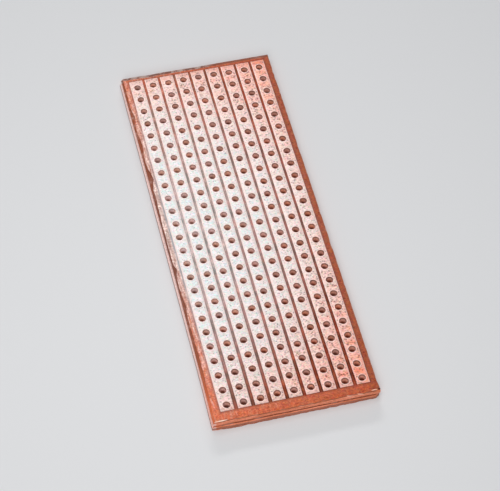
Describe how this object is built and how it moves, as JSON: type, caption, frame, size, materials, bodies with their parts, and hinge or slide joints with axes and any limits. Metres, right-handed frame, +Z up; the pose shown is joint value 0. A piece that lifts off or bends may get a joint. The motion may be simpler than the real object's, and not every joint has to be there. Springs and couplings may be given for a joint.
{
  "type": "prototype board",
  "caption": "Flat drilled phenolic paper board with parallel copper strips on one face and a regular grid of lead holes, its cut edges splintered.",
  "frame": {"origin": "centre of the bounding box, on the underside that the board rests on", "axes": "+Z up from the bare underside to the copper side, +Y along the strips to the far end, +X across the strips from strip 1 to strip 9"},
  "size_m": [0.025, 0.066, 0.0016],
  "materials": {
    "laminate": "satin",
    "copper": "satin"
  },
  "bodies": {
    "root": {"laminate": "laminate", "copper_strip_1": "copper", "copper_strip_2": "copper", "copper_strip_3": "copper", "copper_strip_4": "copper", "copper_strip_5": "copper", "copper_strip_6": "copper", "copper_strip_7": "copper", "copper_strip_8": "copper", "copper_strip_9": "copper"}
  },
  "joints": []
}
